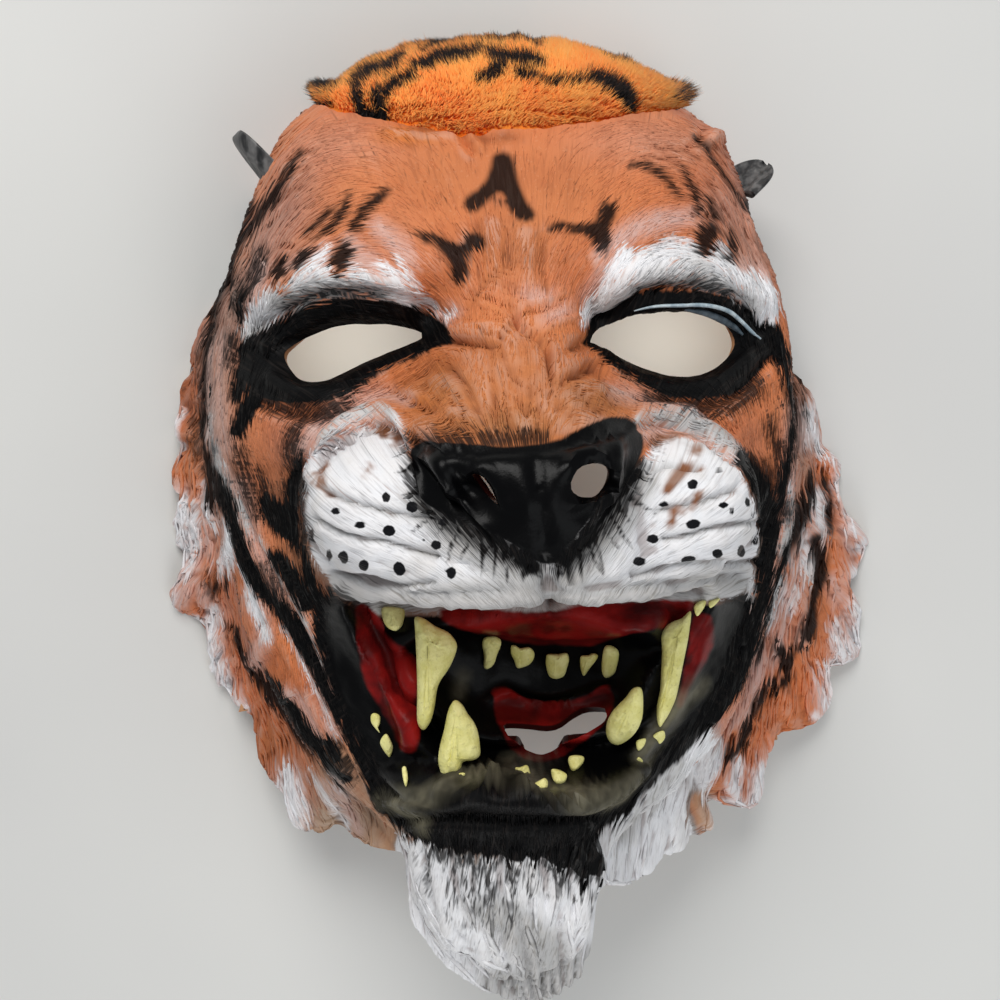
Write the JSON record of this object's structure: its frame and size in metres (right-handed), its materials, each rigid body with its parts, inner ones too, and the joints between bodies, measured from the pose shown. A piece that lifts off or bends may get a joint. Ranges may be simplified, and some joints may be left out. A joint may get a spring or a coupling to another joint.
{
  "type": "latex tiger mask",
  "caption": "Full-face tiger mask cast in painted latex with an open fanged mouth, a fur ruff, a beard and a striped orange plush crown.",
  "frame": {"origin": "middle of the mask's outline on the plane of its rear rim, which it lies on face up", "axes": "+Z out of the face, up from the surface it lies on; +Y from the beard to the crown; +X to the wearer's left"},
  "size_m": [0.264, 0.3176, 0.1807],
  "materials": {
    "latex": "painted cast latex, satin",
    "plush": "short pile, matt"
  },
  "bodies": {
    "root": {"latex_face": "latex", "plush_crown": "plush"}
  },
  "joints": []
}
